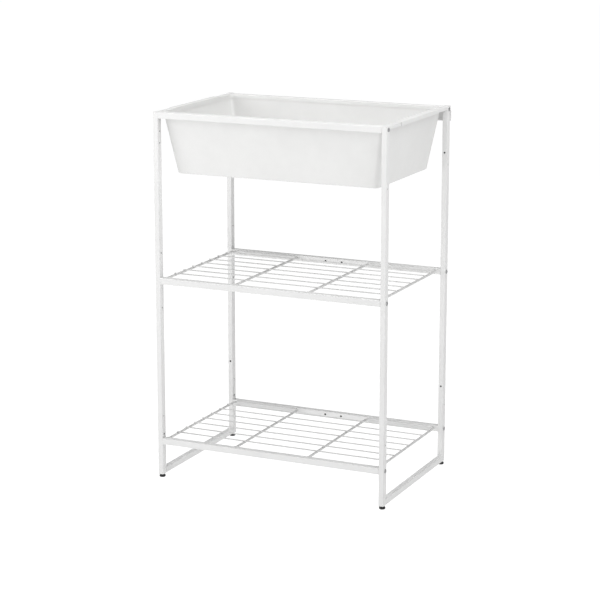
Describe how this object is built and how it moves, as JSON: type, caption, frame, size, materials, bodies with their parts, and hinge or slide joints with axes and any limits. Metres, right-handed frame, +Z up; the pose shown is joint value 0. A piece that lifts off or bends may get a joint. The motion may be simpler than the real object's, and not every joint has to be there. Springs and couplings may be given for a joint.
{
  "type": "raised planter on legs",
  "caption": "Slim white steel stand with four posts, levelling feet and two open wire shelves, holding a flared sheet-metal planter tub at the top.",
  "frame": {"origin": "on the floor under the middle of the object", "axes": "+X to the right seen from the front, +Y to the back, +Z up"},
  "size_m": [0.6, 0.4, 0.9],
  "materials": {
    "white_frame_paint": "white powder coat, fine satin texture, slightly softened edges",
    "white_wire_paint": "white powder coat on round steel wire",
    "white_tub_paint": "white powder coat on thin sheet steel, satin",
    "screw_steel": "dark zinc-plated screw heads",
    "nut_steel": "zinc-plated steel",
    "stud_steel": "zinc-plated threaded stud",
    "black_foot_plastic": "black moulded plastic, matt"
  },
  "bodies": {
    "stand": {"corner_plate_screws": "screw_steel", "foot_nut_blocks": "nut_steel", "front_left_post": "white_frame_paint", "front_right_post": "white_frame_paint", "left_bottom_crossbar": "white_frame_paint", "left_top_crossbar": "white_frame_paint", "lower_shelf_cross_wires": "white_wire_paint", "lower_shelf_front_rail": "white_frame_paint", "lower_shelf_left_rod": "white_wire_paint", "lower_shelf_rail_nut_blocks": "nut_steel", "lower_shelf_rail_screws": "screw_steel", "lower_shelf_rear_rail": "white_frame_paint", "lower_shelf_right_rod": "white_wire_paint", "middle_shelf_cross_wires": "white_wire_paint", "middle_shelf_front_rail": "white_frame_paint", "middle_shelf_left_rod": "white_wire_paint", "middle_shelf_rail_nut_blocks": "nut_steel", "middle_shelf_rail_screws": "screw_steel", "middle_shelf_rear_rail": "white_frame_paint", "middle_shelf_right_rod": "white_wire_paint", "post_top_caps": "white_frame_paint", "rear_left_corner_plate": "white_frame_paint", "rear_left_post": "white_frame_paint", "rear_right_corner_plate": "white_frame_paint", "rear_right_post": "white_frame_paint", "right_bottom_crossbar": "white_frame_paint", "right_top_crossbar": "white_frame_paint", "top_front_rail": "white_frame_paint", "top_rail_nut_blocks": "nut_steel", "top_rail_screws": "screw_steel", "top_rear_rail": "white_frame_paint"},
    "planter_box": {"planter_tub": "white_tub_paint"},
    "front_left_foot": {"front_left_foot_pad": "black_foot_plastic", "front_left_foot_stud": "stud_steel"},
    "front_right_foot": {"front_right_foot_pad": "black_foot_plastic", "front_right_foot_stud": "stud_steel"},
    "rear_left_foot": {"rear_left_foot_pad": "black_foot_plastic", "rear_left_foot_stud": "stud_steel"},
    "rear_right_foot": {"rear_right_foot_pad": "black_foot_plastic", "rear_right_foot_stud": "stud_steel"}
  },
  "joints": [
    {"name": "tub_lift", "type": "slide", "parent": "stand", "child": "planter_box", "axis": [0, 0, 1], "range_m": [0, 0.2]},
    {"name": "front_left_foot_height", "type": "slide", "parent": "stand", "child": "front_left_foot", "axis": [0, 0, -1], "range_m": [0, 0.01]},
    {"name": "front_right_foot_height", "type": "slide", "parent": "stand", "child": "front_right_foot", "axis": [0, 0, -1], "range_m": [0, 0.01]},
    {"name": "rear_left_foot_height", "type": "slide", "parent": "stand", "child": "rear_left_foot", "axis": [0, 0, -1], "range_m": [0, 0.01]},
    {"name": "rear_right_foot_height", "type": "slide", "parent": "stand", "child": "rear_right_foot", "axis": [0, 0, -1], "range_m": [0, 0.01]}
  ]
}
